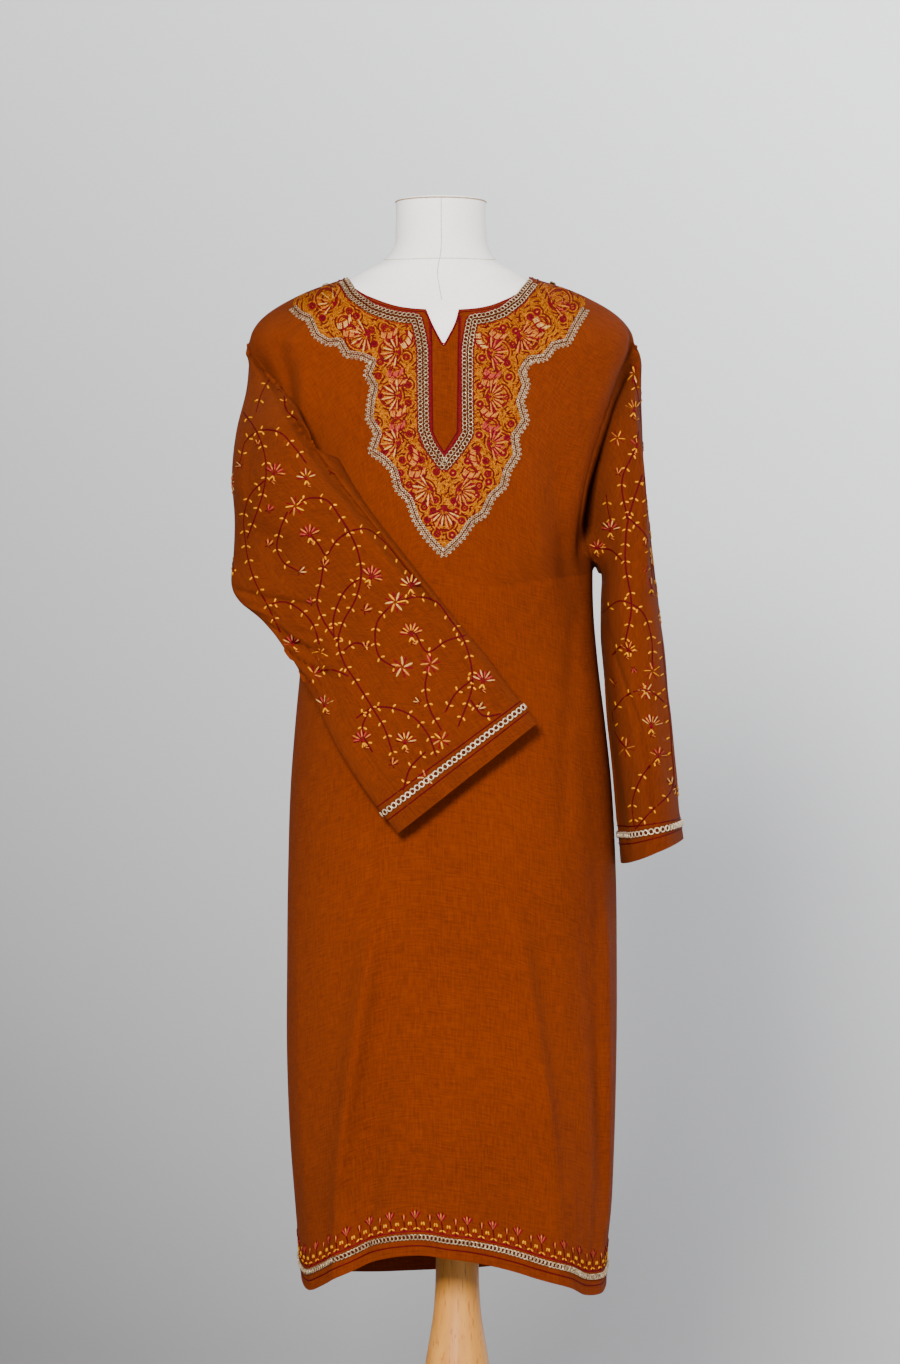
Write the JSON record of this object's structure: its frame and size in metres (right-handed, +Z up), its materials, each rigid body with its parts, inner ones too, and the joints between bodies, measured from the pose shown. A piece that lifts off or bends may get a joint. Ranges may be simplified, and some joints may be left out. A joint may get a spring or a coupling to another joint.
{
  "type": "pheran on a limbless dress form with a turned wooden stand",
  "caption": "Long loose tunic with full sleeves, a round slit neck and an embroidered yoke, shown on a limbless dress form on a turned post.",
  "frame": {"origin": "centre of the underside of the round stand base", "axes": "+Z up along the post, -Y towards the front of the pheran, +X towards the wearer's left"},
  "size_m": [0.4916, 0.3433, 1.4995],
  "materials": {
    "front_cloth": "plain weave wool blend, matte, rust orange",
    "back_cloth": "plain weave wool blend, matte, rust orange",
    "sleeve_cloth": "plain weave wool blend, matte, rust orange",
    "metal_braid": "couched metal thread, antique silver and pale gold",
    "form_cover": "stretched cream cover, matte",
    "post_wood": "light turned wood, satin",
    "base_wood": "light turned wood, satin"
  },
  "bodies": {
    "root": {"front": "front_cloth", "back": "back_cloth", "sleeve_right": "sleeve_cloth", "sleeve_left": "sleeve_cloth", "form_torso": "form_cover", "stand_post": "post_wood", "stand_base": "base_wood", "neck_braid_front": "metal_braid", "neck_braid_back": "metal_braid", "yoke_border": "metal_braid", "hem_braid_front": "metal_braid", "hem_braid_back": "metal_braid", "cuff_braid_right": "metal_braid", "cuff_braid_left": "metal_braid"}
  },
  "joints": []
}
